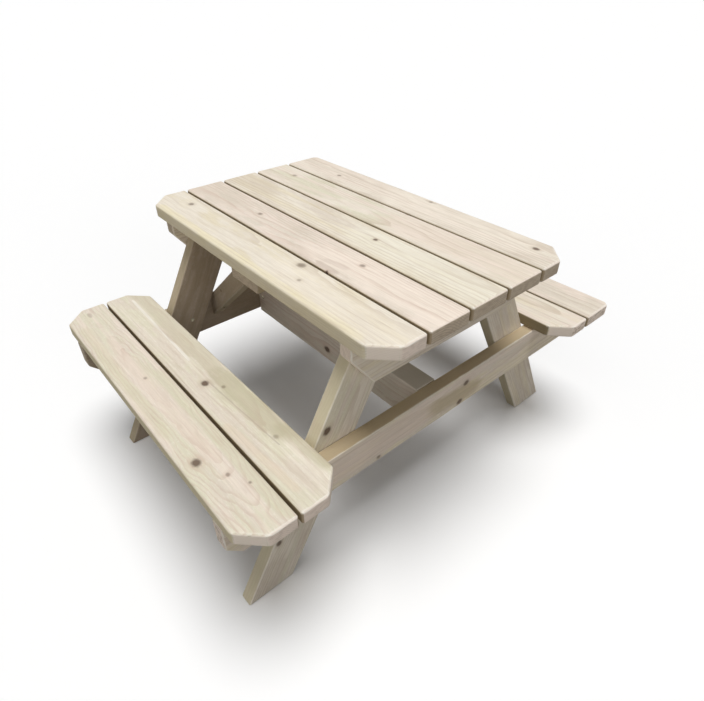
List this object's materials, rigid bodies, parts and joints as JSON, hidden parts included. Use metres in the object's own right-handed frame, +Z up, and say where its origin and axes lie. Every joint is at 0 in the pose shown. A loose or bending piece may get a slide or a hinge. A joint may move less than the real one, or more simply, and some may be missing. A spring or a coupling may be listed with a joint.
{
  "type": "kids picnic table",
  "caption": "Small wooden picnic table for children: slatted top with clipped corners and fixed slatted benches, carried by two splayed A-frames.",
  "frame": {"origin": "middle of the base, on the floor", "axes": "+Z up; X along the boards, with +X at the right-hand end seen from the near bench; +Y across the table, from the near bench to the far bench"},
  "size_m": [0.8, 1.01, 0.55],
  "materials": {
    "top_board_wood": "pale planed softwood, matt, a little weathered",
    "bench_board_wood": "planed softwood with a green-yellow tint of preservative, matt",
    "frame_wood": "planed softwood, matt, greyer and browner than the top",
    "screw_steel": "zinc-plated"
  },
  "bodies": {
    "root": {"top_board_1": "top_board_wood", "top_board_2": "top_board_wood", "top_board_3": "top_board_wood", "top_board_4": "top_board_wood", "top_board_5": "top_board_wood", "near_bench_board_1": "bench_board_wood", "near_bench_board_2": "bench_board_wood", "far_bench_board_1": "bench_board_wood", "far_bench_board_2": "bench_board_wood", "right_near_leg": "frame_wood", "right_far_leg": "frame_wood", "left_near_leg": "frame_wood", "left_far_leg": "frame_wood", "right_seat_beam": "frame_wood", "left_seat_beam": "frame_wood", "right_top_bearer": "frame_wood", "left_top_bearer": "frame_wood", "centre_rail": "frame_wood", "centre_batten": "frame_wood", "diagonal_brace": "frame_wood", "right_top_screw_1": "screw_steel", "right_top_screw_2": "screw_steel", "right_top_screw_3": "screw_steel", "right_top_screw_4": "screw_steel", "right_top_screw_5": "screw_steel", "left_top_screw_1": "screw_steel", "left_top_screw_2": "screw_steel", "left_top_screw_3": "screw_steel", "left_top_screw_4": "screw_steel", "left_top_screw_5": "screw_steel", "batten_screw_1": "screw_steel", "batten_screw_2": "screw_steel", "batten_screw_3": "screw_steel", "batten_screw_4": "screw_steel", "batten_screw_5": "screw_steel", "right_near_bench_screw_1": "screw_steel", "right_near_bench_screw_2": "screw_steel", "right_far_bench_screw_1": "screw_steel", "right_far_bench_screw_2": "screw_steel", "left_near_bench_screw_1": "screw_steel", "left_near_bench_screw_2": "screw_steel", "left_far_bench_screw_1": "screw_steel", "left_far_bench_screw_2": "screw_steel", "right_near_leg_screw_1": "screw_steel", "right_near_leg_screw_2": "screw_steel", "right_near_leg_screw_3": "screw_steel", "right_far_leg_screw_1": "screw_steel", "right_far_leg_screw_2": "screw_steel", "right_far_leg_screw_3": "screw_steel", "left_near_leg_screw_1": "screw_steel", "left_near_leg_screw_2": "screw_steel", "left_near_leg_screw_3": "screw_steel", "left_far_leg_screw_1": "screw_steel", "left_far_leg_screw_2": "screw_steel", "left_far_leg_screw_3": "screw_steel", "right_rail_screw": "screw_steel", "left_rail_screw": "screw_steel", "brace_foot_screw": "screw_steel", "brace_head_screw": "screw_steel"}
  },
  "joints": []
}
